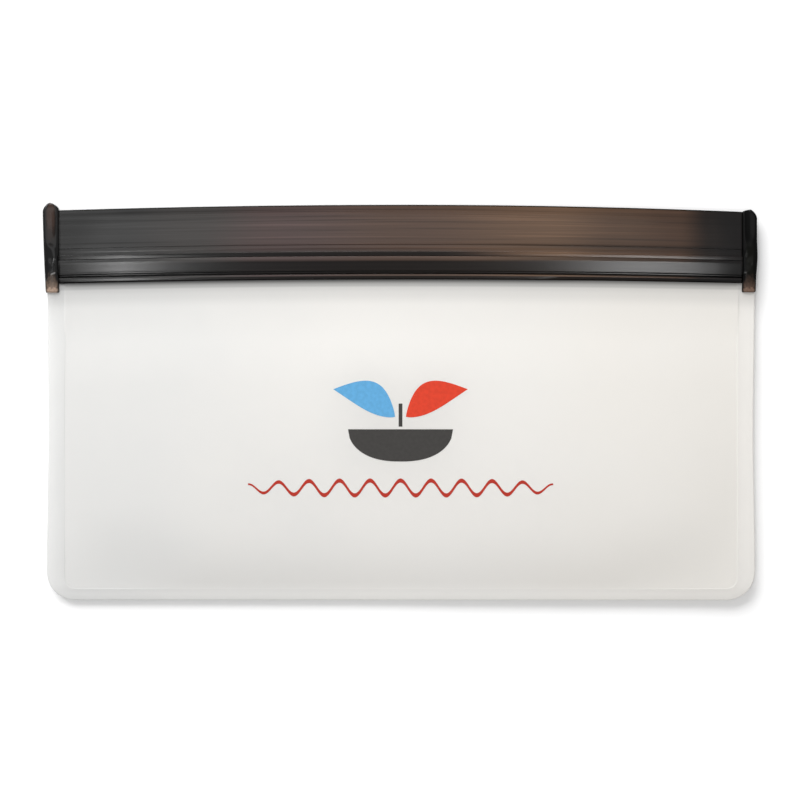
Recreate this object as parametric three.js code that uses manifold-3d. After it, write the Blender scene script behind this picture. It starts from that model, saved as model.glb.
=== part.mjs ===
// A reusable lay-flat food bag: two frosted films welded together along the sides and the
// bottom, and closed along the top by a press-to-close strip with two tracks.
//
// Millimetres, +Z up. The bag lies on its back film: +X runs along the closure, +Y from the
// bottom weld to the closure, and z = 0 is the surface that it rests on. The origin is the
// middle of its footprint. The front film and the front strip turn together about a line
// along X at the inner edge of the bottom weld, which opens the mouth.

import * as THREE from 'three';
import { mergeVertices } from 'three/addons/utils/BufferGeometryUtils.js';
import Module from 'manifold-3d';

// Driving dimensions.
const BAG_WIDTH = 209.4; // over the outer edges of the side welds
const BAG_LENGTH = 117.5; // from the bottom edge to the tips of the end seals
const SEAL_SPAN = 211.4; // over the outer edges of the end seals
const CORNER_RADIUS = 8.3; // outer radius of the two bottom corners
const FILM = 0.4; // thickness of one film
const GAP = 0.3; // clearance between neighbouring pieces
const CROWN = 7; // how far the front film stands above its own edges
const CROWN_FALL_SIDE = 3.2; // how squarely the crown falls to the side welds
const CROWN_FALL_BOTTOM = 2.6; // the same, to the bottom weld
const CROWN_FALL_STRIP = 4; // the same, to the strip

const SIDE_WELD_WIDTH = 5.5;
const BOTTOM_WELD_WIDTH = 3.6;
const WELD_THICKNESS = 0.95; // two films and what the heat squeezed up between them

// The strips' sections: heights along the bag are counted up from the lower edge.
const STRIP_HEIGHT = 23.25; // lower edge to the edge of the lip, at the middle
const WEB = 0.6; // thickness of the lips and of the lower flanges
const LIP_HEIGHT = 12.7; // plain grip lip above the tracks
const LOWER_TRACK = 4.95; // centre line of the lower track
const UPPER_TRACK = 8.4; // centre line of the upper track
const FLANGE_BOW = 1.2; // how far the lower edge drops from the middle to the ends
const LIP_BOW = 1.6; // the same, for the edge of the lip
const TIP_RISE = 0.4; // how far the end seals' tips stand past the middle of the lip

// The male ribs of the back strip and the channels of the front strip that they press into.
const RIB_STEM = 0.5;
const RIB_HEAD = 0.9;
const RIB_TIP = 0.3;
const RIB_HEAD_HEIGHT = 0.6;
const RIB_TOP = 2.2; // above the surface that the bag rests on
const HOOK_HEIGHT = 0.4;
const CHANNEL_MOUTH = RIB_HEAD + 2 * GAP;
const CHANNEL_WIDTH = 1.9;

// The outer face of the front strip, over its channels and below them.
const TRACK_FOOT = 3.3; // width of a track's bar where it leaves the strip
const TRACK_CREST = 1.8; // width of its flat crest
const TRACK_SHOULDER = 0.55; // how far the bar's shoulders are below its crest
const UPPER_TRACK_ROOF = 0.7; // thickness over the channel
const LOWER_TRACK_ROOF = 0.8;
const RIDGE = 2.35; // centre line of the thin ridge between the lower track and the flange
const RIDGE_FOOT = 1.4;
const RIDGE_CREST = 0.7;
const RIDGE_HEIGHT = 0.6;

const SEAL_WIDTH = 4; // end seal, along X
const SEAL_LENGTH = 26.1; // end seal, along Y
const SEAL_THICKNESS = 2.6;
const SEAL_BEVEL = 0.5;
const SEAL_TAIL_RADIUS = 1.2; // the inner corner of the tail that reaches onto the side weld

const ARC_STEPS = 10; // straight steps in each curved stretch of an outline
const STRIP_STEPS = 16; // straight steps along a strip
const CROWN_STEPS_X = 30;
const CROWN_STEPS_Y = 16;

// Worked out from the driving dimensions.
const HALF_WIDTH = BAG_WIDTH / 2;
const BOTTOM = -BAG_LENGTH / 2;
const SEAL_TOP = BAG_LENGTH / 2;
const SEAL_FOOT = SEAL_TOP - SEAL_LENGTH;
const SEAL_INNER = SEAL_SPAN / 2 - SEAL_WIDTH;
const STRIP_END = SEAL_INNER - GAP; // half the strips' length
const STRIP_FOOT = SEAL_TOP - TIP_RISE - STRIP_HEIGHT; // the strips' lower edge, at the middle
const FRONT_LEVEL = WEB + GAP; // underside of the front strip
const WELD_INNER_X = HALF_WIDTH - SIDE_WELD_WIDTH;
const WELD_INNER_Y = BOTTOM + BOTTOM_WELD_WIDTH;
const FOOT_END_X = HALF_WIDTH - CORNER_RADIUS; // where a corner ends and the bottom weld starts
const FILM_EDGE_X = WELD_INNER_X - GAP;
const FILM_EDGE_Y = WELD_INNER_Y + GAP;
const FRONT_FILM_LEVEL = FILM + GAP; // underside of the front film along its edges

const wasm = await Module();
wasm.setup();

/** A closed three.js geometry as a manifold solid. */
function toSolid(geometry) {
  const bare = geometry.clone();
  bare.deleteAttribute('normal');
  bare.deleteAttribute('uv');
  const merged = mergeVertices(bare);
  return new wasm.Manifold(new wasm.Mesh({
    numProp: 3,
    vertProperties: Float32Array.from(merged.attributes.position.array),
    triVerts: Uint32Array.from(merged.index.array),
  }));
}

/** A manifold solid as a three.js geometry. */
function toGeometry(solid) {
  const mesh = solid.getMesh();
  const geometry = new THREE.BufferGeometry();
  geometry.setAttribute('position', new THREE.BufferAttribute(mesh.vertProperties, 3));
  geometry.setIndex(new THREE.BufferAttribute(mesh.triVerts, 1));
  return geometry;
}

/** Moves every vertex of a geometry by a function of its place. */
function reshape(geometry, move) {
  const position = geometry.attributes.position;
  const point = new THREE.Vector3();
  for (let i = 0; i < position.count; i += 1) {
    point.fromBufferAttribute(position, i);
    move(point);
    position.setXYZ(i, point.x, point.y, point.z);
  }
  return geometry;
}

/** How far a line that runs along the strips has dropped at x, since they are slightly bowed. */
function bowDrop(x, heightInStrip) {
  const dropAtEnds = THREE.MathUtils.lerp(FLANGE_BOW, LIP_BOW, heightInStrip / STRIP_HEIGHT);
  return dropAtEnds * (x / STRIP_END) ** 2;
}

/** The films' top edge, one gap below the strips' lower edge. */
function filmTop(x) {
  return STRIP_FOOT - GAP - bowDrop(x, 0);
}

/** Height of the front film's crown: nothing along its edges, and full near its middle. */
function crownHeight(x, y) {
  const across = THREE.MathUtils.clamp(Math.abs(x) / FILM_EDGE_X, 0, 1);
  const along = THREE.MathUtils.clamp((y - FILM_EDGE_Y) / (filmTop(x) - FILM_EDGE_Y), 0, 1);
  const fromSides = 1 - across ** CROWN_FALL_SIDE;
  const fromBottom = 1 - (1 - along) ** CROWN_FALL_BOTTOM;
  const fromStrip = 1 - along ** CROWN_FALL_STRIP;
  const greatest = 0.785; // of the last two shares multiplied
  return (CROWN * fromSides * fromBottom * fromStrip) / greatest;
}

/** Outline of either film inside the welds: bowed top edge and rounded bottom corners. */
function filmOutline() {
  const radius = WELD_INNER_X - FOOT_END_X - GAP;
  const shape = new THREE.Shape();
  const cornerX = FILM_EDGE_X - radius;
  const cornerY = FILM_EDGE_Y + radius;
  const endTop = filmTop(FILM_EDGE_X);
  shape.moveTo(-FILM_EDGE_X, endTop);
  shape.lineTo(-FILM_EDGE_X, cornerY);
  shape.absarc(-cornerX, cornerY, radius, Math.PI, 1.5 * Math.PI);
  shape.absarc(cornerX, cornerY, radius, 1.5 * Math.PI, 2 * Math.PI);
  shape.lineTo(FILM_EDGE_X, endTop);
  shape.quadraticCurveTo(0, 2 * filmTop(0) - endTop, -FILM_EDGE_X, endTop);
  return shape;
}

/** A flat plate with the given outline; side -1 mirrors the outline across the YZ plane. */
function plate(outline, side, thickness, bevel = 0) {
  const points = outline.getPoints(ARC_STEPS).map((p) => new THREE.Vector2(side * p.x, p.y));
  const geometry = new THREE.ExtrudeGeometry(new THREE.Shape(points), {
    depth: thickness - 2 * bevel,
    bevelEnabled: bevel > 0,
    bevelThickness: bevel,
    bevelSize: bevel,
    bevelOffset: -bevel,
    bevelSegments: 1,
  });
  return geometry.translate(0, 0, bevel);
}

/** The back film: flat on the surface that the bag rests on. */
function backFilm() {
  return plate(filmOutline(), 1, FILM);
}

/** The front film: a shallow crown of even thickness, cut to the films' outline. */
function frontFilm() {
  const sheet = new THREE.BoxGeometry(
    2 * FILM_EDGE_X + 2,
    filmTop(0) - FILM_EDGE_Y + 2,
    FILM,
    CROWN_STEPS_X,
    CROWN_STEPS_Y,
    1,
  );
  sheet.translate(0, (filmTop(0) + FILM_EDGE_Y) / 2, FRONT_FILM_LEVEL + FILM / 2);
  reshape(sheet, (p) => { p.z += crownHeight(p.x, p.y); });
  const cutter = plate(filmOutline(), 1, 2 * CROWN);
  return toGeometry(toSolid(sheet).intersect(toSolid(cutter)));
}

/** A side weld with the rounded bottom corner that it ends in; side is -1 left, 1 right. */
function sideWeld(side) {
  const top = SEAL_FOOT - GAP;
  const innerRadius = WELD_INNER_X - FOOT_END_X;
  const shape = new THREE.Shape();
  shape.moveTo(WELD_INNER_X, top);
  shape.lineTo(WELD_INNER_X, WELD_INNER_Y + innerRadius);
  shape.absarc(FOOT_END_X, WELD_INNER_Y + innerRadius, innerRadius, 0, -Math.PI / 2, true);
  shape.lineTo(FOOT_END_X, BOTTOM);
  shape.absarc(FOOT_END_X, BOTTOM + CORNER_RADIUS, CORNER_RADIUS, -Math.PI / 2, 0);
  shape.lineTo(HALF_WIDTH, top);
  return plate(shape, side, WELD_THICKNESS);
}

/** The straight bottom weld between the two corners. */
function bottomWeld() {
  const length = 2 * (FOOT_END_X - GAP);
  const bar = new THREE.BoxGeometry(length, BOTTOM_WELD_WIDTH, WELD_THICKNESS);
  return bar.translate(0, BOTTOM + BOTTOM_WELD_WIDTH / 2, WELD_THICKNESS / 2);
}

/** One male rib of the back strip, as section points from its upper side to its lower side. */
function ribPoints(centre) {
  const shoulder = RIB_TOP - RIB_HEAD_HEIGHT;
  return [
    [centre + RIB_STEM / 2, WEB],
    [centre + RIB_STEM / 2, shoulder],
    [centre + RIB_HEAD / 2, shoulder],
    [centre + RIB_TIP / 2, RIB_TOP],
    [centre - RIB_TIP / 2, RIB_TOP],
    [centre - RIB_HEAD / 2, shoulder],
    [centre - RIB_STEM / 2, shoulder],
    [centre - RIB_STEM / 2, WEB],
  ];
}

/** One channel of the front strip, as section points from its lower side to its upper side. */
function channelPoints(centre) {
  const hookTop = FRONT_LEVEL + HOOK_HEIGHT;
  const ceiling = RIB_TOP + GAP;
  return [
    [centre - CHANNEL_MOUTH / 2, FRONT_LEVEL],
    [centre - CHANNEL_MOUTH / 2, hookTop],
    [centre - CHANNEL_WIDTH / 2, hookTop],
    [centre - CHANNEL_WIDTH / 2, ceiling],
    [centre + CHANNEL_WIDTH / 2, ceiling],
    [centre + CHANNEL_WIDTH / 2, hookTop],
    [centre + CHANNEL_MOUTH / 2, hookTop],
    [centre + CHANNEL_MOUTH / 2, FRONT_LEVEL],
  ];
}

/** The outer face of one track, a low bar over its channel, from upper side to lower side. */
function trackPoints(centre, roof) {
  const crest = RIB_TOP + GAP + roof;
  return [
    [centre + TRACK_FOOT / 2, crest - TRACK_SHOULDER],
    [centre + TRACK_CREST / 2, crest],
    [centre - TRACK_CREST / 2, crest],
    [centre - TRACK_FOOT / 2, crest - TRACK_SHOULDER],
  ];
}

/** The thin ridge below the tracks, from upper side to lower side. */
function ridgePoints(face) {
  return [
    [RIDGE + RIDGE_FOOT / 2, face],
    [RIDGE + RIDGE_CREST / 2, face + RIDGE_HEIGHT],
    [RIDGE - RIDGE_CREST / 2, face + RIDGE_HEIGHT],
    [RIDGE - RIDGE_FOOT / 2, face],
  ];
}

/** Section of the back strip: a flat web with two male ribs. */
function backSection() {
  return [
    [0, 0],
    [STRIP_HEIGHT, 0],
    [STRIP_HEIGHT, WEB],
    ...ribPoints(UPPER_TRACK),
    ...ribPoints(LOWER_TRACK),
    [0, WEB],
  ];
}

/** Section of the front strip: lip, two raised tracks over the channels, thin ridge, flange. */
function frontSection() {
  const face = FRONT_LEVEL + WEB;
  const lipFoot = STRIP_HEIGHT - LIP_HEIGHT;
  return [
    [0, FRONT_LEVEL],
    ...channelPoints(LOWER_TRACK),
    ...channelPoints(UPPER_TRACK),
    [STRIP_HEIGHT, FRONT_LEVEL],
    [STRIP_HEIGHT, face],
    [lipFoot, face],
    ...trackPoints(UPPER_TRACK, UPPER_TRACK_ROOF),
    ...trackPoints(LOWER_TRACK, LOWER_TRACK_ROOF),
    ...ridgePoints(face),
    [0, face],
  ];
}

/** Sweeps a strip's section along X and bends it to the closure's slight bow. */
function strip(section) {
  const shape = new THREE.Shape(section.map(([height, z]) => new THREE.Vector2(height, z)));
  const geometry = new THREE.ExtrudeGeometry(shape, {
    depth: 2 * STRIP_END,
    steps: STRIP_STEPS,
    bevelEnabled: false,
  });
  return reshape(geometry, (p) => {
    const x = p.z - STRIP_END;
    const height = p.x;
    p.set(x, STRIP_FOOT + height - bowDrop(x, height), p.y);
  });
}

/** An end seal: the strips' ends fused into one bullet-shaped plate; side is -1 left, 1 right. */
function endSeal(side) {
  const inner = SEAL_INNER;
  const outer = SEAL_SPAN / 2;
  const tipRadius = SEAL_WIDTH / 2;
  const shape = new THREE.Shape();
  shape.moveTo(outer, SEAL_FOOT);
  shape.lineTo(outer, SEAL_TOP - tipRadius);
  shape.absarc(outer - tipRadius, SEAL_TOP - tipRadius, tipRadius, 0, Math.PI);
  shape.lineTo(inner, SEAL_FOOT + SEAL_TAIL_RADIUS);
  shape.absarc(
    inner + SEAL_TAIL_RADIUS,
    SEAL_FOOT + SEAL_TAIL_RADIUS,
    SEAL_TAIL_RADIUS,
    Math.PI,
    1.5 * Math.PI,
  );
  return plate(shape, side, SEAL_THICKNESS, SEAL_BEVEL);
}

const frostedFilm = new THREE.MeshStandardMaterial({ color: 0xf0efec, roughness: 0.5, metalness: 0 });
const fusedFilm = new THREE.MeshStandardMaterial({ color: 0xe4e2df, roughness: 0.4, metalness: 0 });
const smokyStrip = new THREE.MeshStandardMaterial({ color: 0x55463c, roughness: 0.35, metalness: 0 });
const fusedStrip = new THREE.MeshStandardMaterial({ color: 0x2a2521, roughness: 0.3, metalness: 0 });

const bag = new THREE.Group();

/** Adds one named piece to the bag. */
function addPiece(name, geometry, material) {
  const mesh = new THREE.Mesh(geometry, material);
  mesh.name = name;
  bag.add(mesh);
}

addPiece('back_film', backFilm(), frostedFilm);
addPiece('front_film', frontFilm(), frostedFilm);
addPiece('left_side_weld', sideWeld(-1), fusedFilm);
addPiece('right_side_weld', sideWeld(1), fusedFilm);
addPiece('bottom_weld', bottomWeld(), fusedFilm);
addPiece('back_zip_strip', strip(backSection()), smokyStrip);
addPiece('front_zip_strip', strip(frontSection()), smokyStrip);
addPiece('left_end_seal', endSeal(-1), fusedStrip);
addPiece('right_end_seal', endSeal(1), fusedStrip);

export default bag;
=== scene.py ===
import math

import bmesh
import bpy
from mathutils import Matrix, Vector, noise


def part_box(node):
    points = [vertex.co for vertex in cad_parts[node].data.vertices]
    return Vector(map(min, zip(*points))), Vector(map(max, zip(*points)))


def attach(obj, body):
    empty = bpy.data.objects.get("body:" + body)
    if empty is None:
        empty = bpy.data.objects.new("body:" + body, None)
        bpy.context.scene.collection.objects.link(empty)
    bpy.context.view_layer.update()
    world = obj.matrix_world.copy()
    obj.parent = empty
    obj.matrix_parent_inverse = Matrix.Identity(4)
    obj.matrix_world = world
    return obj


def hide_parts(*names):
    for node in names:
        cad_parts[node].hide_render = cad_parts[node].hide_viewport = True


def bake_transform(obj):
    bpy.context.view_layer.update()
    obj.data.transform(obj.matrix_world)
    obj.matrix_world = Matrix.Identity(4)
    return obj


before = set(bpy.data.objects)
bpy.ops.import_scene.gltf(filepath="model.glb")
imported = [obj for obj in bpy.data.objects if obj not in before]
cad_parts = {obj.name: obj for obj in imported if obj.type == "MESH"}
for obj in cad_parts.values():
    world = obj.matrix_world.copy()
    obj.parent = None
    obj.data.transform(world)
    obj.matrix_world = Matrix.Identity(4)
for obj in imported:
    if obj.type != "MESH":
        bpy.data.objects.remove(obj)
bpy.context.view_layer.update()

# ---------------------------------------------------------------------------------------------
# Sizes, in metres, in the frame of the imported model. The bag lies on its back film: x runs along
# the closure, y from the bottom weld to the closure, and the surface is at z = 0.
# ---------------------------------------------------------------------------------------------

MM = 0.001

_, film_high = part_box("front_film")
_, lip_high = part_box("front_zip_strip")
seal_low, seal_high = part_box("right_end_seal")
_, side_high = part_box("right_side_weld")
base_low, base_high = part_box("bottom_weld")

CLEARANCE = 0.3 * MM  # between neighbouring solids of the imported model
SEAM_X = film_high.x + CLEARANCE  # inner edge of the side welds
SEAM_Y = base_high.y  # inner edge of the bottom weld, where the front half is hinged
EDGE_X = side_high.x  # outer edge of the side welds
EDGE_Y = base_low.y
FOOT_X = base_high.x + CLEARANCE  # where the rounded corners meet the straight bottom
OUTER_RADIUS = EDGE_X - FOOT_X
INNER_RADIUS = SEAM_X - FOOT_X

STRIP_END = lip_high.x
STRIP_HEIGHT = 23.25 * MM
STRIP_FOOT = lip_high.y - STRIP_HEIGHT  # the strips' lower edge, at the middle
FLANGE_BOW = 1.2 * MM  # how far that edge has dropped at the strips' ends
LIP_BOW = 1.6 * MM  # the same for the upper edge
RIGHT_SAG = 0.65 * MM  # how much lower still that upper edge has dropped at the right end

CROWN = 2.6 * MM  # how far the front film stands above its own edges
HOVER_LEFT = 2.0 * MM  # how far the welds float above the surface, as the bag rests on its belly
HOVER_RIGHT = 2.9 * MM  # the right end floats along its whole length, closure and all
CURL = 0.75  # the higher a point floats, the further in it lies, by that height over this length
SEAM_LEVEL = 0.55 * MM  # the front film's edge, above the underside of the weld
FLANGE_LEVEL = 1.28 * MM  # the front film where it lies over the strip's flange
FILM_LAP = 1.05 * MM  # how far the films reach up over the strips' flanges

CROWN_TO_SIDES = 7  # how squarely the crown falls to the side welds
CROWN_TO_BOTTOM = 7  # the same, to the bottom weld
CROWN_TO_STRIP = 1.5  # the same, to the strip
CROWN_PEAK = 0.76  # about the largest value of rise times fall, which is brought to 1
CORNER_START = 55 * MM  # further out than this the crown rises more gently from the bottom
CORNER_REACH = 35 * MM  # length over which that sets in
CORNER_SHARE = 0.7  # how much of the rise near a corner is the gentle one
GENTLE_RISE = 0.28  # share of the bag's length that the gentle rise takes

HOVER_DELAY = 2.5  # the larger, the nearer to the right end the bag lifts off
HOVER_REACH = 30 * MM  # how far below the strip the welds reach their own height
RIGHT_EXTRA = 0.2  # how much higher the right weld is than the closure, as a share
HOVER_UNEVEN = 0.12  # share by which the floating height varies
HOVER_BUMPS = 45 * MM  # size of those bumps
EDGE_REACH = 16 * MM  # how far below the strip the films are no longer held at its height
FILM_UNEVEN = 0.25 * MM  # how much the front film's own height varies
FILM_BUMPS = 42 * MM  # size of those bumps
BELLY_WIDTH = 2.2  # the larger, the nearer to the welds the back film is down on the surface
BACK_REST = 0.02 * MM  # the back film's height where it rests
BACK_RISE = 0.2 * MM  # how far it rises above the welds' underside to meet them

# Where in the noise each kind of irregularity is taken from.
HOVER_SEED = 3
FILM_SEED = 7
SEAL_SEED = 11
CRUSH_SEED = 21


def clamp(t):
    """t, held between 0 and 1."""
    return min(max(t, 0.0), 1.0)


def mix(a, b, t):
    """From a at t = 0 to b at t = 1."""
    return a + (b - a) * t


def smooth(t):
    """A smooth step from 0 at t = 0 to 1 at t = 1."""
    t = clamp(t)
    return t * t * (3 - 2 * t)


def hump(t, centre, half_width):
    """A smooth hump that is 1 at centre and 0 beyond half_width from it."""
    return smooth(1 - abs(t - centre) / half_width)


def ripple(x, y, size, seed):
    """Smooth irregularity between about -1 and 1, with bumps about that size."""
    return noise.noise(Vector((x / size, y / size, seed)))


def strip_y(x, height):
    """y of a point at that height in the slightly bowed strips."""
    lip_bow = LIP_BOW + (RIGHT_SAG if x > 0 else 0)
    bow = mix(FLANGE_BOW, lip_bow, height / STRIP_HEIGHT)
    return STRIP_FOOT + height - bow * (x / STRIP_END) ** 2


def from_strip(x, y, reach):
    """0 at the strips' lower edge and above it, 1 from that reach below it."""
    return smooth((strip_y(x, 0) - y) / reach)


def crown_share(x, y):
    """Share of the full crown: 0 along the welds and the strip, 1 near the middle."""
    across = clamp(abs(x) / SEAM_X)
    along = clamp((y - SEAM_Y) / (strip_y(x, 0) - SEAM_Y))
    corner = CORNER_SHARE * smooth((abs(x) - CORNER_START) / CORNER_REACH)
    rise = mix(1 - (1 - along) ** CROWN_TO_BOTTOM, smooth(along / GENTLE_RISE), corner)
    fall = 1 - along**CROWN_TO_STRIP
    return (1 - across**CROWN_TO_SIDES) * rise * fall / CROWN_PEAK


def hover(x, y):
    """Height of the welds' and the closure's underside above the surface."""
    to_right = clamp(0.5 + 0.5 * x / EDGE_X) ** HOVER_DELAY
    below_strip = from_strip(x, y, HOVER_REACH)
    uneven = 1 + HOVER_UNEVEN * ripple(x, y, HOVER_BUMPS, HOVER_SEED) * below_strip
    below = mix(HOVER_LEFT, RIGHT_EXTRA * HOVER_RIGHT, to_right) * below_strip
    return (below + HOVER_RIGHT * to_right) * uneven


def drawn_in(x, y):
    """x of a point of the closure, drawn in a little where the bag curls up."""
    return x * (1 - hover(x, y) / CURL)


def front_z(x, y):
    """Height of the front film."""
    share = crown_share(x, y)
    edge = mix(FLANGE_LEVEL, SEAM_LEVEL, from_strip(x, y, EDGE_REACH))
    uneven = FILM_UNEVEN * share * ripple(x, y, FILM_BUMPS, FILM_SEED)
    return hover(x, y) + edge + CROWN * share + uneven


def back_z(x, y):
    """Height of the back film: flat on the surface, rising to the welds and the closure."""
    to_weld = clamp(1 - BELLY_WIDTH * crown_share(x, y)) ** 2
    below_strip = from_strip(x, y, EDGE_REACH)
    held = 1 - (1 - to_weld) * below_strip
    return BACK_REST + hover(x, y) * held + BACK_RISE * to_weld * below_strip


# ---------------------------------------------------------------------------------------------
# Mesh building
# ---------------------------------------------------------------------------------------------

MERGE_DISTANCE = 0.002 * MM  # points nearer than this coincide
ROUNDING_STEPS = 3
MOST_ROUNDED = 0.45  # largest share of a side that the rounding of one corner takes


def steps(start, end, count):
    """count + 1 even steps from start to end."""
    return [mix(start, end, i / count) for i in range(count + 1)]


def merge_coinciding(mesh):
    """Merges points that coincide, as at a leaf's tip, and drops the faces left without area."""
    edited = bmesh.new()
    edited.from_mesh(mesh)
    bmesh.ops.remove_doubles(edited, verts=edited.verts, dist=MERGE_DISTANCE)
    bmesh.ops.dissolve_degenerate(edited, edges=edited.edges, dist=MERGE_DISTANCE)
    edited.to_mesh(mesh)
    edited.free()


def make_piece(name, points, faces, flat, material):
    """A smooth-shaded mesh piece.

    flat: each point's UVs, which are its place on the flat material in metres, or on an end
    seal its shares across and along.
    """
    mesh = bpy.data.meshes.new(name)
    mesh.from_pydata(points, [], faces)
    layer = mesh.uv_layers.new(name="flat")
    for loop in mesh.loops:
        layer.data[loop.index].uv = flat[loop.vertex_index]
    mesh.materials.append(material)
    mesh.shade_smooth()
    mesh.validate()
    piece = bpy.data.objects.new(name, mesh)
    bpy.context.scene.collection.objects.link(piece)
    return piece


def grid_faces(rows, columns, around=False, start=0):
    """Quads over rows of points; around also joins the last column to the first."""
    faces = []
    last = columns if around else columns - 1
    for r in range(rows - 1):
        for c in range(last):
            a = start + r * columns + c
            b = start + r * columns + (c + 1) % columns
            faces.append((a, b, b + columns, a + columns))
    return faces


def tube_faces(rows, columns, first_cap=True, last_cap=True):
    """Skin over rows of points round a solid, with a flat cap on each end that needs one."""
    faces = grid_faces(rows, columns, around=True)
    if first_cap:
        faces.append(tuple(reversed(range(columns))))
    if last_cap:
        faces.append(tuple(range((rows - 1) * columns, rows * columns)))
    return faces


def rounded(corners):
    """An outline of (height, z, radius) corners, in mm, with each corner rounded."""
    outline = []
    for i, (height, z, radius) in enumerate(corners):
        here = Vector((height, z))
        before = Vector(corners[i - 1][:2])
        after = Vector(corners[(i + 1) % len(corners)][:2])
        shorter = min((before - here).length, (after - here).length)
        reach = min(radius, MOST_ROUNDED * shorter)
        first = here + (before - here).normalized() * reach
        last = here + (after - here).normalized() * reach
        for t in steps(0, 1, ROUNDING_STEPS):
            outline.append(first * (1 - t) ** 2 + here * 2 * t * (1 - t) + last * t**2)
    return [point * MM for point in outline]


# ---------------------------------------------------------------------------------------------
# Materials
# ---------------------------------------------------------------------------------------------

FLANGE_AND_SHADOW_REACH = 8 * MM  # how far below the strip the film is darkened: the dark flange showing through, and further down a painted shadow of the strip
FLANGE_AND_SHADOW_START = 1 - FILM_LAP / FLANGE_AND_SHADOW_REACH
# Darkening by that reach: over the flange it shows through the film, below the flange it is
# painted shadow of the strip.
FLANGE_AND_SHADOW = [(0.0, 1.0), (0.5, 0.90), (0.7, 0.86), (0.8, 0.66), (1.0, 0.24)]
BOTTOM_SHADE_LENGTH = 90 * MM  # from the strip to the bottom, over which the film is painted darker as painted shade
# Painted shade, from the bottom up to the strip: the film darker towards the bottom.
BOTTOM_SHADE = [(0.0, 0.945), (0.25, 0.975), (0.65, 1.0)]
BUMP_DEPTH = 0.0001  # in metres, of every fine surface texture
FILM_THROUGH = 0.38  # share of the light that the frosted film scatters through
STRIP_THROUGH = 0.10  # the same, for the smoky strip


class Shader:
    """A small builder of node materials."""

    def __init__(self, name):
        self.material = bpy.data.materials.new(name)
        self.material.use_nodes = True
        self.tree = self.material.node_tree
        self.tree.nodes.clear()

    def node(self, kind, settings=None, **inputs):
        """Adds a node; settings are its properties, and inputs its sockets by name."""
        made = self.tree.nodes.new(kind)
        for key, value in (settings or {}).items():
            setattr(made, key, value)
        for key, value in inputs.items():
            self.feed(made.inputs[key.replace("_", " ")], value)
        return made

    def feed(self, socket, value):
        """Links an output to a socket, or sets the socket's own value."""
        if isinstance(value, bpy.types.NodeSocket):
            self.tree.links.new(value, socket)
        else:
            socket.default_value = value

    def math(self, operation, a, b=0.0, c=0.0):
        """One math node's output."""
        made = self.tree.nodes.new("ShaderNodeMath")
        made.operation = operation
        for socket, value in zip(made.inputs, (a, b, c)):
            self.feed(socket, value)
        return made.outputs[0]

    def flat(self, stretch=(1, 1)):
        """The piece's own flat coordinates, stretched along each direction."""
        place = self.node("ShaderNodeUVMap", {"uv_map": "flat"})
        scaled = self.node(
            "ShaderNodeMapping",
            Vector=place.outputs["UV"],
            Scale=(stretch[0], stretch[1], 1),
        )
        return scaled.outputs["Vector"]

    def multiply(self, a, b):
        """The product of two colours."""
        made = self.node("ShaderNodeVectorMath", {"operation": "MULTIPLY"})
        self.feed(made.inputs[0], a)
        self.feed(made.inputs[1], b)
        return made.outputs[0]

    def between(self, factor, a, b):
        """From colour a where factor is 0 to colour b where it is 1."""
        made = self.node("ShaderNodeMix", {"data_type": "RGBA"})
        for socket, value in ((made.inputs[0], factor), (made.inputs[6], a), (made.inputs[7], b)):
            self.feed(socket, value)
        return made.outputs[2]

    def noise(self, stretch, detail=2.0):
        """A noise texture's value, about 0.5 on average; stretch sets how fine it is."""
        place = self.flat(stretch)
        made = self.node("ShaderNodeTexNoise", Vector=place, Scale=1.0, Detail=detail)
        return made.outputs["Fac"]

    def ramp(self, factor, stops):
        """A colour ramp through (position, colour) stops; a number stands for a grey."""
        made = self.node("ShaderNodeValToRGB", Fac=factor)
        ramp = made.color_ramp
        ramp.interpolation = "EASE"
        while len(ramp.elements) < len(stops):
            ramp.elements.new(0.5)
        for element, (position, colour) in zip(ramp.elements, stops):
            grey = isinstance(colour, (int, float))
            element.position = position
            element.color = (colour, colour, colour, 1) if grey else (*colour, 1)
        return made.outputs["Color"]

    def blend(self, factor, a, b):
        """A mix of two shaders."""
        made = self.tree.nodes.new("ShaderNodeMixShader")
        for socket, value in zip(made.inputs, (factor, a, b)):
            self.feed(socket, value)
        return made.outputs[0]

    def finish(self, surface):
        """Connects the surface and returns the material."""
        self.node("ShaderNodeOutputMaterial", Surface=surface)
        return self.material


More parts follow.
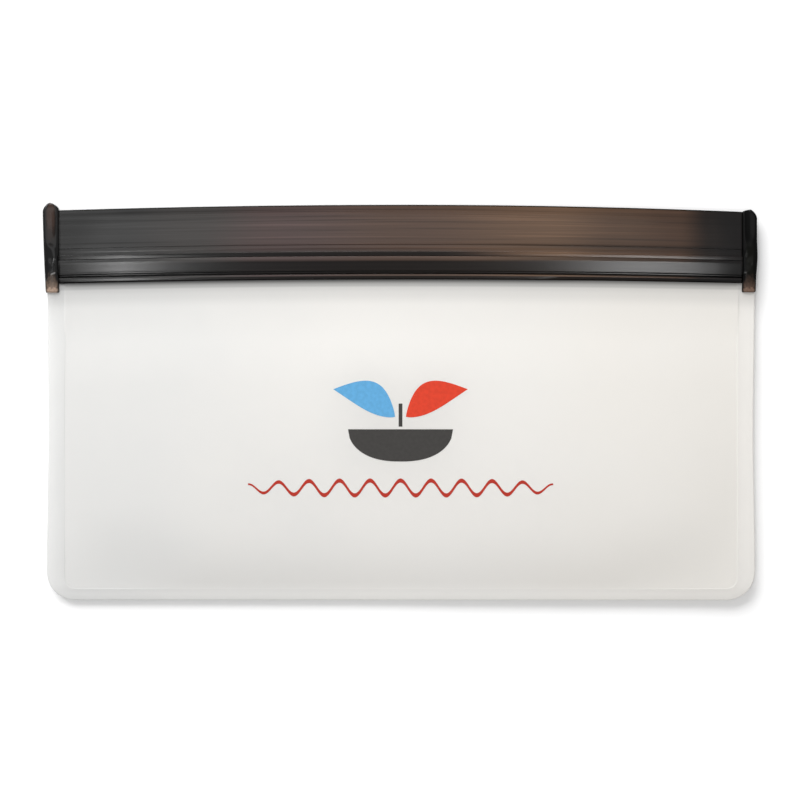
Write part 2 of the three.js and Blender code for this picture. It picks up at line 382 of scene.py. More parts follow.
def film_material(name, frost_and_shade, clearness):
    """Milky frosted film with a satin shine, tinted as given at the left, middle and right: darker
    at the left as painted shade, and warmer at the right.

    It is painted a little darker towards the bottom as painted shade; along its upper edge the
    dark flange of the strip shows through, and below the flange a painted shadow of the strip
    darkens it. clearness is the share of the light that passes straight through.
    """
    s = Shader(name)
    clouds = s.noise((22, 30), detail=3)
    grain = s.noise((2600, 2600))
    drawn = s.noise((30, 900))
    place = s.node("ShaderNodeSeparateXYZ", Vector=s.flat())
    across = s.math("MULTIPLY_ADD", place.outputs["X"], 1 / (2 * EDGE_X), 0.5)
    # The clouds shift the place where the tint is read.
    mottled = s.math("MULTIPLY_ADD", clouds, 0.5, s.math("SUBTRACT", across, 0.25))
    tint = s.ramp(mottled, [(0.0, frost_and_shade[0]), (0.5, frost_and_shade[1]), (1.0, frost_and_shade[2])])
    # Painted shadow of the strip below its flange, and painted shade towards the bottom.
    reach = s.math("MULTIPLY_ADD", place.outputs["Y"], 1 / FLANGE_AND_SHADOW_REACH, FLANGE_AND_SHADOW_START)
    low = s.math("MULTIPLY_ADD", place.outputs["Y"], 1 / BOTTOM_SHADE_LENGTH, 1.0)
    tint = s.multiply(s.multiply(tint, s.ramp(reach, FLANGE_AND_SHADOW)), s.ramp(low, BOTTOM_SHADE))
    height = s.math("ADD", grain, s.math("MULTIPLY", drawn, 0.4))
    bump = s.node("ShaderNodeBump", Height=height, Strength=0.10, Distance=BUMP_DEPTH)
    gloss = s.math("MULTIPLY_ADD", clouds, 0.12, 0.40)
    face = s.node(
        "ShaderNodeBsdfPrincipled",
        Base_Color=tint,
        Roughness=gloss,
        IOR=1.45,
        Normal=bump.outputs["Normal"],
    )
    through = s.node("ShaderNodeBsdfTranslucent", Color=tint, Normal=bump.outputs["Normal"])
    clear = s.node("ShaderNodeBsdfTransparent", Color=(0.98, 0.98, 0.975, 1))
    body = s.blend(FILM_THROUGH, face.outputs[0], through.outputs[0])
    return s.finish(s.blend(clearness, body, clear.outputs[0]))


SMOKE_AND_REFLECTION = [  # the lips' colour along the closure, from the left end to the right: smoky brown plastic with painted light, a painted reflection grey at the left, a painted glow brightest right of the middle, and painted shade black at the right end
    (0.02, (0.020, 0.020, 0.020)),
    (0.08, (0.034, 0.034, 0.034)),
    (0.20, (0.045, 0.041, 0.039)),
    (0.32, (0.066, 0.043, 0.040)),
    (0.50, (0.072, 0.042, 0.030)),
    (0.72, (0.106, 0.060, 0.035)),
    (0.82, (0.068, 0.038, 0.023)),
    (0.90, (0.054, 0.029, 0.018)),
    (0.95, (0.008, 0.005, 0.004)),
    (0.98, (0.003, 0.002, 0.002)),
]
# Share of that colour that shows, by height in mm: the thick tracks look black, though the
# upper one less so towards the right end.
LEFT_CLEARNESS = [  # left of the middle
    (2.0, 0.08),
    (2.2, 1.0),
    (2.5, 1.0),
    (2.65, 0.08),
    (6.2, 0.08),
    (7.0, 0.8),
    (7.8, 1.0),
    (8.0, 0.08),
    (9.1, 0.08),
    (9.6, 0.8),
    (11.4, 1.0),
    (22.7, 1.0),
    (23.0, 0.1),
]
RIGHT_CLEARNESS = [  # right of it
    (2.0, 0.08),
    (2.2, 1.0),
    (2.5, 1.0),
    (2.65, 0.08),
    (6.6, 0.08),
    (7.1, 0.6),
    (7.8, 0.6),
    (8.3, 1.0),
    (9.2, 1.2),
    (10.4, 0.9),
    (11.4, 0.5),
    (12.4, 1.0),
    (22.7, 1.0),
    (23.0, 0.1),
]
CLEARNESS_TOP = 24  # height, in mm, at the end of those ramps


def strip_material(name):
    """Dark smoky brown plastic with fine lengthwise lines from the extrusion; its colour along the
    closure is partly painted reflection, glow and shade.
    """
    s = Shader(name)
    place = s.node("ShaderNodeSeparateXYZ", Vector=s.flat())
    along = s.math("MULTIPLY_ADD", place.outputs["X"], 1 / (2 * STRIP_END), 0.5)
    broad = s.noise((18, 60))
    coarse = s.noise((9, 900), detail=3)
    fine = s.noise((20, 2300))
    lines = s.math("ADD", s.math("MULTIPLY", coarse, 0.6), s.math("MULTIPLY", fine, 0.4))
    # The lips' colour along the closure, partly painted reflection, glow and shade.
    smoke_and_reflection = s.ramp(s.math("MULTIPLY_ADD", broad, 0.05, s.math("SUBTRACT", along, 0.025)), SMOKE_AND_REFLECTION)
    height = s.math("MULTIPLY", place.outputs["Y"], 1 / (CLEARNESS_TOP * MM))
    clear = s.between(
        s.ramp(along, [(0.55, 0.0), (0.75, 1.0)]),
        s.ramp(height, [(at / CLEARNESS_TOP, share) for at, share in LEFT_CLEARNESS]),
        s.ramp(height, [(at / CLEARNESS_TOP, share) for at, share in RIGHT_CLEARNESS]),
    )
    streaks = s.ramp(lines, [(0.30, 0.50), (0.5, 1.0), (0.70, 1.50)])
    base = s.multiply(s.multiply(smoke_and_reflection, clear), streaks)
    bump = s.node("ShaderNodeBump", Height=lines, Strength=0.30, Distance=BUMP_DEPTH)
    crushed = s.ramp(along, [(0.01, 0.16), (0.11, 0.0), (0.92, 0.0), (0.99, 0.12)])
    rough = s.math("ADD", s.math("MULTIPLY_ADD", lines, 0.11, 0.06), crushed)
    face = s.node(
        "ShaderNodeBsdfPrincipled",
        Base_Color=base,
        Roughness=rough,
        IOR=1.40,
        Normal=bump.outputs["Normal"],
    )
    through = s.node("ShaderNodeBsdfTranslucent", Color=(0.30, 0.19, 0.13, 1))
    return s.finish(s.blend(STRIP_THROUGH, face.outputs[0], through.outputs[0]))


def seal_material(name, upper, middle, foot, gloss, shine):
    """The strips' plastic melted together: black, with brown inside its rim, made lighter towards
    the foot by a painted glow of light through the thin plastic.

    upper, middle, foot: its colours; gloss: its lowest roughness; shine: its specular level.
    """
    s = Shader(name)
    place = s.node("ShaderNodeSeparateXYZ", Vector=s.flat())
    smear = s.noise((3, 30), detail=3)
    wander = s.math("MULTIPLY_ADD", smear, 0.16, -0.08)
    along = s.math("ADD", place.outputs["Y"], wander)
    # The melted plastic's colour along the seal, with a painted glow that makes it lighter towards
    # the foot.
    brown = s.ramp(
        along,
        [
            (0.00, foot),
            (0.02, foot),
            (0.07, tuple(0.40 * c for c in foot)),
            (0.15, tuple(0.16 * c for c in foot)),
            (0.24, middle),
            (0.50, middle),
            (0.66, tuple(0.35 * c for c in upper)),
            (0.80, upper),
            (0.96, upper),
        ],
    )
    spread = s.ramp(place.outputs["Y"], [(0.0, 0.28), (0.10, 0.28), (0.18, 0.0)])
    off_middle = s.math("SUBTRACT", s.math("ABSOLUTE", place.outputs["X"]), spread)
    across = s.math("ADD", off_middle, wander)
    inside = s.ramp(across, [(0.30, 1.0), (0.70, 0.03)])
    satin = s.ramp(s.math("ABSOLUTE", place.outputs["X"]), [(0.55, 0.0), (0.85, 1.0)])
    rough = s.math("MULTIPLY_ADD", satin, 0.22, s.math("MULTIPLY_ADD", smear, 0.12, gloss))
    face = s.node(
        "ShaderNodeBsdfPrincipled",
        Base_Color=s.multiply(brown, inside),
        Roughness=rough,
        Specular_IOR_Level=shine,
    )
    return s.finish(face.outputs[0])


def ink_material(name, colour):
    """A thin matt layer of screen-printed ink with slightly uneven coverage."""
    s = Shader(name)
    uneven = s.noise((900, 900), detail=3)
    shade = tuple(0.88 * c for c in colour)
    tint = s.ramp(uneven, [(0.3, shade), (0.7, colour)])
    bump = s.node("ShaderNodeBump", Height=uneven, Strength=0.12, Distance=BUMP_DEPTH)
    face = s.node(
        "ShaderNodeBsdfPrincipled",
        Base_Color=tint,
        Roughness=0.6,
        Specular_IOR_Level=0.25,
        Normal=bump.outputs["Normal"],
    )
    return s.finish(face.outputs[0])


# Tints at the left, middle and right: the darker left is painted shade, and the right is warmer.
FILM = film_material(
    "frosted_film",
    frost_and_shade=[(0.885, 0.882, 0.870), (0.945, 0.932, 0.908), (0.935, 0.915, 0.880)],
    clearness=0.05,
)
WELD = film_material(
    "fused_film",
    frost_and_shade=[(0.875, 0.875, 0.867), (0.925, 0.915, 0.893), (0.925, 0.908, 0.880)],
    clearness=0.08,
)
STRIP = strip_material("smoky_strip")
# The seals' foot colours include a painted glow of light through the thin plastic.
LEFT_SEAL = seal_material(
    "fused_strip_left",
    upper=(0.036, 0.020, 0.015),
    middle=(0.003, 0.003, 0.003),
    foot=(0.34, 0.24, 0.18),
    gloss=0.07,
    shine=0.35,
)
RIGHT_SEAL = seal_material(
    "fused_strip_right",
    upper=(0.002, 0.002, 0.002),
    middle=(0.003, 0.003, 0.002),
    foot=(0.15, 0.095, 0.070),
    gloss=0.12,
    shine=0.12,
)
CHARCOAL_INK = ink_material("charcoal_ink", (0.0415, 0.039, 0.0365))
BLUE_INK = ink_material("blue_ink", (0.106, 0.357, 0.628))
RED_INK = ink_material("red_ink", (0.646, 0.0435, 0.0146))
DEEP_RED_INK = ink_material("deep_red_ink", (0.42, 0.025, 0.0115))


# ---------------------------------------------------------------------------------------------
# Films
# ---------------------------------------------------------------------------------------------

LAP_UNDER_WELD = 0.5 * MM  # how far a film's edge is caught in the weld
CELL = 1.2 * MM  # size of the films' mesh along x
FILM_ROWS = 80


def film_sheet(name, x_from, x_to, height, material):
    """A film between two places along x, from inside the bottom weld to over the flange."""
    columns = round(abs(x_to - x_from) / CELL)
    points = []
    flat = []
    for along in steps(0, 1, FILM_ROWS):
        for x in steps(x_from, x_to, columns):
            y = mix(SEAM_Y - LAP_UNDER_WELD, strip_y(x, FILM_LAP), along)
            points.append((x, y, height(x, y)))
            flat.append((x, y - strip_y(x, 0)))
    faces = grid_faces(FILM_ROWS + 1, columns + 1)
    return make_piece(name, points, faces, flat, material)


def bend_with_mouth(piece):
    """Bakes the placement of a piece of the front half into its mesh."""
    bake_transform(piece)


def make_films():
    """The back film in one piece and the front film in two halves."""
    edge = SEAM_X + LAP_UNDER_WELD
    back = film_sheet("back_film_sheet", -edge, edge, back_z, FILM)
    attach(back, "back_half")
    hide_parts("back_film")
    for name, side in (("left", -1), ("right", 1)):
        ends = (-edge, 0) if side < 0 else (0, edge)
        front = film_sheet(f"front_film_{name}", *ends, front_z, FILM)
        bend_with_mouth(front)
        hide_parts("front_film")


# ---------------------------------------------------------------------------------------------
# Weld round the sides and the bottom
# ---------------------------------------------------------------------------------------------

# Section of the weld: share of the way from its inner to its outer edge, and height in mm.
WELD_SECTION = [
    (0.00, 0.40),
    (0.02, 0.57),
    (0.07, 0.615),
    (0.14, 0.60),
    (0.50, 0.60),
    (0.93, 0.60),
    (0.975, 0.55),
    (1.00, 0.34),
    (0.975, 0.10),
    (0.93, 0.02),
    (0.50, 0.00),
    (0.10, 0.00),
    (0.02, 0.06),
]
WELD_THICKNESS = 0.6 * MM  # the flat height of that section
WELD_LIFT = FLANGE_LEVEL - WELD_THICKNESS  # how far it rises to lie over the strip's flange
LIFT_REACH = 8 * MM  # how far below the strip it starts to rise
SIDE_PINCH = 0.5 * MM  # how far the side edges draw in at mid-height
WELD_DROOP = 0.35 * MM  # how far the bottom weld slopes down to its outer edge
SIDE_STEPS = 60
CORNER_STEPS = 16
BOTTOM_STEPS = 120


def weld_path():
    """Pairs of points on the weld's inner and outer edges, from the left end to the right."""
    top = strip_y(SEAM_X, FILM_LAP)
    left = []
    for along in steps(0, 1, SIDE_STEPS):
        inner_y = mix(top, SEAM_Y + INNER_RADIUS, along)
        outer_y = mix(top, EDGE_Y + OUTER_RADIUS, along)
        pinch = SIDE_PINCH * math.sin(math.pi * along) ** 2
        left.append(((-SEAM_X, inner_y), (-EDGE_X + pinch, outer_y)))
    for angle in steps(math.pi, 1.5 * math.pi, CORNER_STEPS)[1:]:
        turn = (math.cos(angle), math.sin(angle))
        inner = (-FOOT_X + INNER_RADIUS * turn[0], SEAM_Y + INNER_RADIUS * (1 + turn[1]))
        outer = (-FOOT_X + OUTER_RADIUS * turn[0], EDGE_Y + OUTER_RADIUS * (1 + turn[1]))
        left.append((inner, outer))
    between_corners = steps(-FOOT_X, FOOT_X, BOTTOM_STEPS)[1:-1]
    bottom = [((x, SEAM_Y), (x, EDGE_Y)) for x in between_corners]
    right = [((-i[0], i[1]), (-o[0], o[1])) for i, o in reversed(left)]
    return left + bottom + right


def make_weld():
    """The fused margin, one band round both sides and the bottom."""
    points = []
    flat = []
    path = weld_path()
    for inner, outer in path:
        for share, z in WELD_SECTION:
            x = mix(inner[0], outer[0], share)
            y = mix(inner[1], outer[1], share)
            droop = WELD_DROOP * max(SEAM_Y - y, 0) / (SEAM_Y - EDGE_Y)
            lift = WELD_LIFT * (1 - from_strip(x, y, LIFT_REACH))
            points.append((x, y, hover(x, y) + z * MM - droop + lift))
            flat.append((x, y - strip_y(x, 0)))
    faces = tube_faces(len(path), len(WELD_SECTION))
    weld = make_piece("weld_band", points, faces, flat, WELD)
    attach(weld, "back_half")
    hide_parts("left_side_weld", "right_side_weld", "bottom_weld")


# ---------------------------------------------------------------------------------------------
# Closure strips. Section corners are (height in the strip, z, rounding), in mm.
# ---------------------------------------------------------------------------------------------

UPPER_TRACK = 7.35
LOWER_TRACK = 2.3
FRONT_UNDERSIDE = 0.9
BACK_FACE = 0.6
FLANGE_FOOT = -1.1  # the lower edge of both strips, hidden under the film


def front_corners():
    """Front strip: lip, flat band, upper track, fin, sloping lower track, bead and flange."""
    outside = [
        (23.15, FRONT_UNDERSIDE, 0.1),
        (23.15, 1.40, 0.04),
        (11.52, 1.98, 0.02),
        (11.4, 1.80, 0.05),
        (10.6, 1.83, 0.3),
        (9.45, 1.75, 0.06),
        (9.33, 2.74, 0.1),
        (8.08, 2.60, 0.06),
        (7.98, 2.48, 0.05),
        (7.86, 2.76, 0.08),
        (7.1, 2.80, 0.15),
        (6.4, 2.71, 0.3),
        (3.6, 2.36, 0.1),
        (3.45, 1.96, 0.1),
        (3.1, 1.92, 0.1),
        (2.75, 1.50, 0.1),
        (2.58, 2.09, 0.06),
        (2.15, 2.12, 0.1),
        (1.4, 2.02, 0.06),
        (1.25, 1.36, 0.1),
        (1.1, 1.22, 0.1),
        (FLANGE_FOOT, 1.10, 0.1),
        (FLANGE_FOOT, FRONT_UNDERSIDE, 0.05),
    ]
    low, high = LOWER_TRACK, UPPER_TRACK
    channels = [
        (low - 0.2, FRONT_UNDERSIDE, 0.05),
        (low - 0.2, 1.4, 0.1),
        (low + 0.2, 1.4, 0.1),
        (low + 0.2, FRONT_UNDERSIDE, 0.05),
        (high - 0.32, FRONT_UNDERSIDE, 0.05),
        (high - 0.32, 1.2, 0.05),
        (high - 0.46, 1.3, 0.05),
        (high - 0.46, 2.15, 0.15),
        (high + 0.46, 2.15, 0.15),
        (high + 0.46, 1.3, 0.05),
        (high + 0.32, 1.2, 0.05),
        (high + 0.32, FRONT_UNDERSIDE, 0.05),
    ]
    return outside + channels


def back_corners():
    """Back strip: flat web, slightly taller than the front lip, with two male ribs."""
    low, high = LOWER_TRACK, UPPER_TRACK
    return [
        (FLANGE_FOOT, 0.05, 0.1),
        (23.25, 0.05, 0.2),
        (23.25, BACK_FACE, 0.1),
        (high + 0.16, BACK_FACE, 0.1),
        (high + 0.16, 1.35, 0.05),
        (high + 0.3, 1.4, 0.05),
        (high + 0.12, 2.0, 0.1),
        (high - 0.12, 2.0, 0.1),
        (high - 0.3, 1.4, 0.05),
        (high - 0.16, 1.35, 0.05),
        (high - 0.16, BACK_FACE, 0.1),
        (low + 0.12, BACK_FACE, 0.1),
        (low + 0.12, 1.5, 0.1),
        (low - 0.12, 1.5, 0.1),
        (low - 0.12, BACK_FACE, 0.1),
        (FLANGE_FOOT, BACK_FACE, 0.1),
    ]


CRUSH_REACH = 8 * MM  # length over which the strips sink towards an end seal
CRUSH_DEPTH = 0.25 * MM  # how far they have sunk there
CRUSH_TOP = 18 * MM  # height above which the lips stay flat
CRUSH_FADE = 4 * MM  # below that height, the stretch over which the sinking sets in
CRUSH_UNEVEN = 0.3  # share by which it varies
CRUSH_BUMPS = 5 * MM  # size of those bumps
END_DIVE = 1.6 * MM  # how far their very ends dip into the seal
DIVE_START = 0.3 * MM  # how far before STRIP_END that dip starts
DIVE_REACH = 0.8 * MM  # its length
MOST_SUNK = 0.7  # largest share of a point's height above the front strip's underside to sink
BEAD_ROLL = 0.45 * MM  # how far the lowest bead leans down towards the right
BEAD_TOP = 2.2 * MM  # height above which nothing leans
BEAD_FADE = 0.7 * MM  # below that height, the stretch over which the lean sets in
ROLL_START = 40 * MM  # how far right of the middle the lean starts
ROLL_REACH = 22 * MM  # length over which it grows
FLANGE_CUT = 96.5 * MM  # from here to the ends the flange tapers away under the film
FLANGE_CUT_REACH = 2.5 * MM  # length of that taper
FLANGE_CUT_TO = 0.6  # lower edge, in mm, that it tapers to
FINE_REACH = 1.2 * CRUSH_REACH  # how near to an end seal the sections are closer together
FINE_STATION = 0.3 * MM  # distance between sections there
COARSE_STATION = 1.5 * MM  # the same, elsewhere
LAP_IN_SEAL = 0.8 * MM  # how far past STRIP_END a strip reaches, into its seal


def strip_stations(x_from, x_to):
    """Places along a strip, closer together where it sinks towards an end seal."""
    stations = [x_from]
    while stations[-1] < x_to:
        x = stations[-1]
        near_end = STRIP_END - abs(x) < FINE_REACH
        stations.append(min(x + (FINE_STATION if near_end else COARSE_STATION), x_to))
    return stations


def sweep_strip(name, corners, x_from, x_to, material):
    """A strip's section swept along x, bowed, and flattened where it runs into an end seal."""
    outline = rounded(corners)
    points = []
    flat = []
    stations = strip_stations(x_from, x_to)
    for x in stations:
        crush = clamp((abs(x) - STRIP_END + CRUSH_REACH) / CRUSH_REACH) ** 2
        cut = smooth((abs(x) - FLANGE_CUT) / FLANGE_CUT_REACH)
        rolled = smooth((x - ROLL_START) / ROLL_REACH)
        for height, z in outline:
            height = max(height, mix(FLANGE_FOOT, FLANGE_CUT_TO, cut) * MM)
            sunk = CRUSH_DEPTH * crush * smooth((CRUSH_TOP - height) / CRUSH_FADE)
            sunk *= 1 + CRUSH_UNEVEN * ripple(x, 2 * height, CRUSH_BUMPS, CRUSH_SEED)
            sunk += BEAD_ROLL * rolled * smooth((BEAD_TOP - height) / BEAD_FADE)
            sunk += END_DIVE * smooth((abs(x) - STRIP_END + DIVE_START) / DIVE_REACH)
            level = z - min(sunk, MOST_SUNK * max(z - FRONT_UNDERSIDE * MM, 0))
            y = strip_y(x, height)
            points.append((drawn_in(x, y), y, hover(x, y) + level))
            flat.append((x, height))
    faces = tube_faces(len(stations), len(outline), first_cap=x_from != 0, last_cap=x_to != 0)
    return make_piece(name, points, faces, flat, material)


def make_strips():
    """The back strip in one piece and the front strip in two halves."""
    reach = STRIP_END + LAP_IN_SEAL
    back = sweep_strip("back_strip", back_corners(), -reach, reach, STRIP)
    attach(back, "back_half")
    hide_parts("back_zip_strip")
    for name, side in (("left", -1), ("right", 1)):
        ends = (-reach, 0) if side < 0 else (0, reach)
        front = sweep_strip(f"front_strip_{name}", front_corners(), *ends, STRIP)
        bend_with_mouth(front)
        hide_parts("front_zip_strip")


# ---------------------------------------------------------------------------------------------
# End seals
# ---------------------------------------------------------------------------------------------

SEAL_ROWS = 150
SEAL_COLUMNS = 64
SEAL_MIDDLE = 1.05 * MM  # height of the seals' middle plane
HALF_THICKNESS = 0.80 * MM  # half of their thickness
SEAL_BULGE = 0.25 * MM  # how much thicker each half is at the bulge
BULGE_AT = 0.42  # share of the way up where the bulge is
THIN_END = 0.35  # share of the thickness that is left at the very ends
SQUARE_SIDES = 0.8  # under 1 each, these make the section squarer than an ellipse
SQUARE_TOP = 0.5
SEAL_LAP = 0.35 * MM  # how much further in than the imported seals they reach, over the strips
FOOT_LAP = 0.2 * MM  # how much further in they reach at the foot
FOOT_SHARE = 0.2  # share of the length over which that extra reach dies out
FOOT_WIDTH = 0.88  # share of the width that is left at the very foot
FOOT_LENGTH = 0.4 * MM  # length over which the lower end is rounded
SEAL_FOOT = seal_low.y - 0.4 * MM  # the foot itself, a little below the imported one
TAB_TOP = seal_low.y + 5.6 * MM  # the strips' melted foot makes a raised tab up to here
TAB_PEAK = -0.55  # how far across the tab reaches highest
TAB_ROUND = 1.3 * MM  # how much lower its edge is one half-width further across


def rounding(distance, length):
    """Share of full width at that distance from the tip, for an edge rounded over length."""
    fullness = 0.7  # under 1 is fuller than a sine
    return math.sin(math.pi / 2 * clamp(distance / length)) ** fullness


def seal_relief(across, y, side):
    """Height of the marks on the upper face of an end seal, for across from -1 to 1."""
    above_foot = (y - seal_low.y) / MM
    half_dish = 0.7
    dish_depth, tab_height, dent_depth = 0.30 * MM, 0.35 * MM, 0.35 * MM
    tab_slope = 0.4 * MM
    half_seal = 2.1 * MM
    dent_size = 2.6 * MM
    dish = -dish_depth * hump(above_foot, centre=20, half_width=9)
    dish *= clamp(1 - (across / half_dish) ** 2)
    tab_edge = TAB_TOP - TAB_ROUND * (across - TAB_PEAK) ** 2
    tab = tab_height * smooth((tab_edge - y) / tab_slope)
    dents = dent_depth * hump(above_foot, centre=10.5, half_width=6) * (1 - across**2)
    dents *= ripple(across * half_seal, y, dent_size, SEAL_SEED + side)
    return dish + tab + dents


def make_seal(name, side, material, tip, curves, edge):
    """An end seal, as a stack of cross-sections from its foot to its tip.

    tip: the tip's x and y, as on the right-hand side.
    curves: length of the curve from the tip into the inner and into the outer edge.
    edge: function of the share along the seal; how far out its outer edge lies, in mm.
    """
    points = []
    flat = []
    for step in steps(0, 1, SEAL_ROWS):
        along = 0.5 - 0.5 * math.cos(math.pi * step)
        y = mix(SEAL_FOOT, tip[1], along)
        to_foot = clamp((y - SEAL_FOOT) / FOOT_LENGTH)
        inner = seal_low.x - SEAL_LAP - FOOT_LAP * smooth(1 - along / FOOT_SHARE)
        outer = seal_high.x + edge(along) * MM
        left = mix(tip[0], inner, rounding(tip[1] - y, curves[0]))
        right = mix(tip[0], outer, rounding(tip[1] - y, curves[1]))
        middle = (left + right) / 2
        half = (right - left) / 2 * mix(FOOT_WIDTH, 1, math.sqrt(to_foot))
        thin_end = min(math.sqrt(to_foot), rounding(tip[1] - y, curves[1]))
        thick = HALF_THICKNESS + SEAL_BULGE * hump(along, BULGE_AT, half_width=0.4)
        thick *= mix(THIN_END, 1, thin_end)
        for column in range(SEAL_COLUMNS):
            angle = 2 * math.pi * column / SEAL_COLUMNS
            across = math.copysign(abs(math.cos(angle)) ** SQUARE_SIDES, math.cos(angle))
            rise = math.copysign(abs(math.sin(angle)) ** SQUARE_TOP, math.sin(angle))
            z = SEAL_MIDDLE + thick * rise
            if rise > 0:
                z += seal_relief(across, y, side) * rise
            x = side * (middle + half * across)
            points.append((drawn_in(x, y), y, hover(x, y) + z))
            flat.append((across, along))
    faces = tube_faces(SEAL_ROWS + 1, SEAL_COLUMNS)
    if side > 0:
        faces = [tuple(reversed(face)) for face in faces]
    seal = make_piece(f"{name}_seal", points, faces, flat, material)
    merge_coinciding(seal.data)
    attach(seal, "back_half")
    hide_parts(f"{name}_end_seal")


def left_edge(along):
    """The left seal widens steadily from its foot up."""
    return 0.45 - 0.95 * (1 - along) ** 1.5


def right_edge(along):
    """The right seal bulges over the tracks and is narrower above and below them."""
    return 0.05 - 0.45 * (1 - along) ** 3 + 0.22 * hump(along, BULGE_AT, half_width=0.25)


def make_seals():
    """The two end seals, each with its own tip and outer edge."""
    left_tip = (seal_low.x + 2.4 * MM, seal_high.y + 0.2 * MM)
    right_tip = (seal_low.x + 2.1 * MM, seal_high.y - 2.05 * MM)
    make_seal("left", -1, LEFT_SEAL, left_tip, (2.1 * MM, 2.8 * MM), left_edge)
    make_seal("right", 1, RIGHT_SEAL, right_tip, (0.8 * MM, 2.8 * MM), right_edge)


# ---------------------------------------------------------------------------------------------
# Print on the front film: a generic bowl with two leaves and a wavy line
# ---------------------------------------------------------------------------------------------

INK_LIFT = 0.06 * MM  # how far the ink stands on the film
MARK_Y = -5 * MM  # between the bowl, below it, and the leaves, above it
LINE_Y = -25.5 * MM  # where the wavy line runs


class Print:
    """Gathers ink patches that lie on one half of the front film into one piece."""

    def __init__(self, side):
        self.side = side
        self.points = []
        self.flat = []
        self.faces = []
        self.inks = []

    def patch(self, place, rows, columns, ink):
        """A patch over place(u, v), which gives x and y for the right half."""
        start = len(self.points)
        for u in steps(0, 1, rows):
            for v in steps(0, 1, columns):
                x, y = place(u, v)
                x *= self.side
                self.points.append((x, y, front_z(x, y) + INK_LIFT))
                self.flat.append((x, y))
        faces = grid_faces(rows + 1, columns + 1, start=start)
        self.faces += faces
        self.inks += [ink] * len(faces)

    def piece(self, name, materials):
        """The gathered patches as one piece, each in its own ink."""
        made = make_piece(name, self.points, self.faces, self.flat, materials[0])
        for material in materials[1:]:
            made.data.materials.append(material)
        for polygon, ink in zip(made.data.polygons, self.inks):
            polygon.material_index = ink
        merge_coinciding(made.data)
        return made


def leaf(u, v):
    """One leaf: u runs from its stalk to its tip, v from its lower to its upper edge."""
    length = 20 * MM
    width = 8.6 * MM
    sweep = 2.6 * MM
    widest = 0.85  # under 1 brings the widest place nearer to the stalk
    bend = sweep * math.sin(math.pi * u)
    half = width / 2 * math.sin(math.pi * u**widest)
    along = u * length
    across = bend + mix(-half, half, v)
    lean = math.radians(24)
    x = 1.6 * MM + along * math.cos(lean) - across * math.sin(lean)
    y = MARK_Y + 0.5 * MM + along * math.sin(lean) + across * math.cos(lean)
    return x, y


def bowl(u, v):
    """Half of a round-bottomed bowl, from the middle outwards."""
    half_width = 15.5 * MM
    depth = 9.5 * MM
    roundness = 2.4  # 2 is an ellipse, and more is squarer
    rim = MARK_Y - 3.2 * MM
    bottom = rim - depth * math.sqrt(max(1 - u**roundness, 0.0))
    return u * half_width, mix(bottom, rim, v)


def stalk(u, v):
    """Half of the stalk between bowl and leaves."""
    half_width = 0.55 * MM
    foot = MARK_Y - 2.4 * MM
    top = MARK_Y + 4.4 * MM
    return mix(0, half_width, v), mix(foot, top, u)


def wave(u, v):
    """Half of the wavy line under the mark."""
    half_length = 45 * MM
    wavelength = 9 * MM
    amplitude = 2.2 * MM
    half_width = 0.62 * MM
    x = u * half_length
    swing = amplitude * math.cos(2 * math.pi * x / wavelength) * (1 - 0.5 * u**4)
    half = half_width * (1 - 0.6 * u**6)
    return x, LINE_Y + swing + mix(-half, half, v)


def make_print():
    """Both halves of the print: a bowl, a stalk, two leaves and a wavy line."""
    charcoal, colour, red = range(3)
    for name, side, leaf_ink in (("left", -1, BLUE_INK), ("right", 1, RED_INK)):
        half = Print(side)
        half.patch(leaf, 36, 10, colour)
        half.patch(bowl, 30, 10, charcoal)
        half.patch(stalk, 10, 2, charcoal)
        half.patch(wave, 160, 2, red)
        piece = half.piece(f"print_{name}", [CHARCOAL_INK, leaf_ink, DEEP_RED_INK])
        bend_with_mouth(piece)


# ---------------------------------------------------------------------------------------------
# Floor, light and camera
# ---------------------------------------------------------------------------------------------


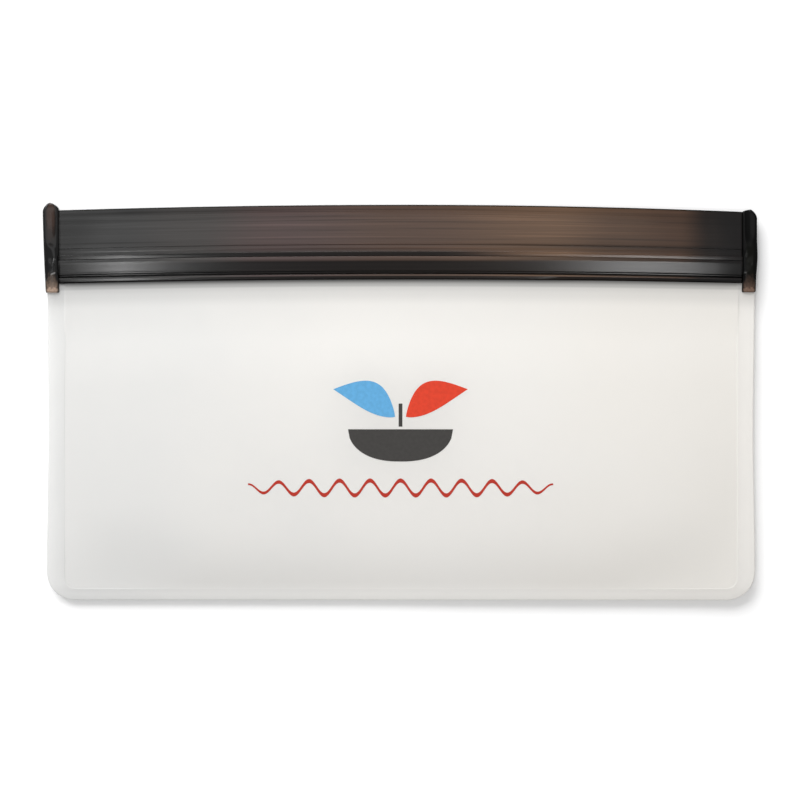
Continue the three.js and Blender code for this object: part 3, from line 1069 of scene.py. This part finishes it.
def make_floor():
    """A plain pale floor under the bag."""
    mesh = bpy.data.meshes.new("floor")
    half = 4.0  # in metres, so that its edges stay far from the bag
    corners = [(-half, -half, 0), (half, -half, 0), (half, half, 0), (-half, half, 0)]
    mesh.from_pydata(corners, [], [(0, 1, 2, 3)])
    s = Shader("floor")
    face = s.node(
        "ShaderNodeBsdfPrincipled", Base_Color=(0.97, 0.97, 0.97, 1), Roughness=0.9, IOR=1.2
    )
    mesh.materials.append(s.finish(face.outputs[0]))
    floor = bpy.data.objects.new("floor", mesh)
    bpy.context.scene.collection.objects.link(floor)


def make_light(name, place, aim, size, power):
    """A soft rectangular light at place, turned towards aim."""
    data = bpy.data.lights.new(name, "AREA")
    data.shape = "RECTANGLE"
    data.size, data.size_y = size
    data.energy = power
    light = bpy.data.objects.new(name, data)
    light.location = place
    light.rotation_euler = (Vector(aim) - Vector(place)).to_track_quat("-Z", "Y").to_euler()
    bpy.context.scene.collection.objects.link(light)


def make_studio():
    """Even white surroundings, one large key light, and panels that the glossy strip reflects."""
    world = bpy.data.worlds.new("studio")
    bpy.context.scene.world = world
    world.use_nodes = True
    background = world.node_tree.nodes["Background"]
    background.inputs["Color"].default_value = (1, 1, 1, 1)
    background.inputs["Strength"].default_value = 0.48
    # Each light: its place, what it is aimed at, its two sizes in metres, its power in watts.
    make_light("key", (-0.60, 1.38, 1.14), (0, 0, 0), (1.56, 1.2), 38.5)
    make_light("top_panel", (-0.15, 0.25, 1.25), (-0.15, 0.25, 0), (0.60, 0.4), 0.66)
    make_light("left_panel", (-0.255, -0.23, 1.25), (-0.255, -0.23, 0), (0.08, 0.42), 1.49)
    make_light("right_panel", (0.125, -0.28, 1.25), (0.125, -0.28, 0), (0.06, 0.36), 0.75)
    bpy.context.scene.view_settings.view_transform = "Standard"


def make_camera():
    """Straight above the bag, with the photograph's framing."""
    lens = 110
    view_width = 237 * MM  # at the height of the film
    film_height = 2 * MM
    centre = (-0.15 * MM, 0.44 * MM)
    data = bpy.data.cameras.new("camera")
    data.lens = lens
    data.sensor_width = 36
    camera = bpy.data.objects.new("camera", data)
    camera.location = (*centre, view_width * lens / data.sensor_width + film_height)
    bpy.context.scene.collection.objects.link(camera)
    bpy.context.scene.camera = camera


make_films()
make_weld()
make_strips()
make_seals()
make_print()
make_floor()
make_studio()
make_camera()
